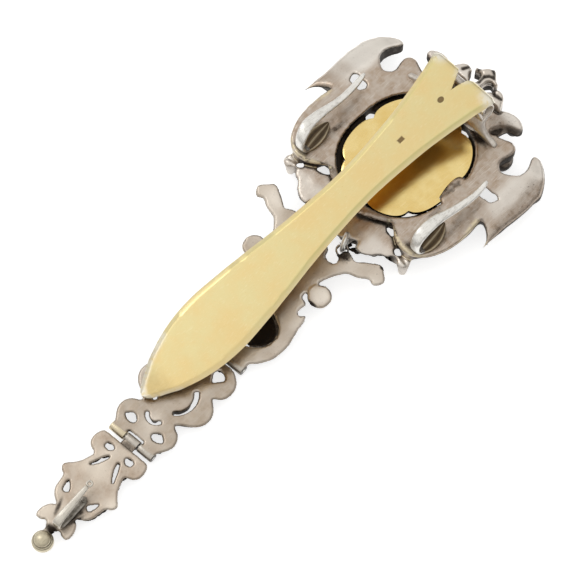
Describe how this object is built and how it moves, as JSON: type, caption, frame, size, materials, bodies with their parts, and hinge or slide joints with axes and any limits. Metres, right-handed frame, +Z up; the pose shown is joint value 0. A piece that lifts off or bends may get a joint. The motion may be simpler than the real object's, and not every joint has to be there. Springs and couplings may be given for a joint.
{
  "type": "chatelaine watch pin",
  "caption": "Belt-hook chatelaine in cast silver with a gilt tongue, a lobed medallion, two side hooks and a hinged drop that ends in a watch hook.",
  "frame": {"origin": "middle of the whole object's box, at the surface that it lies on, face down", "axes": "+Z up out of the back, +Y along the crest from the drop to the finial, +X to the right seen from the back"},
  "size_m": [0.0506, 0.1316, 0.0177],
  "materials": {
    "aged_silver": "cast silver, worn satin with dark tarnish in its hollows",
    "bright_silver": "drawn silver wire, bright",
    "gold": "gold, satin",
    "gilt": "worn pale gilding on silver, satin with rubbed edges"
  },
  "bodies": {
    "crest_body": {"crest": "aged_silver", "medallion": "gold", "belt_hook": "gilt", "left_ring": "bright_silver", "right_ring": "bright_silver", "upper_link": "aged_silver", "upper_hinge_pin": "bright_silver"},
    "middle_link": {"middle_link": "aged_silver", "lower_hinge_pin": "bright_silver"},
    "tail": {"tail": "aged_silver"}
  },
  "joints": [
    {"name": "upper_hinge", "type": "hinge", "parent": "crest_body", "child": "middle_link", "pos_m": [0.00274, -0.014, 0.00175], "axis": [0.9965, 0.0837, 0], "range_deg": [0, 60]},
    {"name": "lower_hinge", "type": "hinge", "parent": "middle_link", "child": "tail", "pos_m": [0.00479, -0.03842, 0.0019], "axis": [0.9965, 0.0837, 0], "range_deg": [-75, 60]}
  ]
}
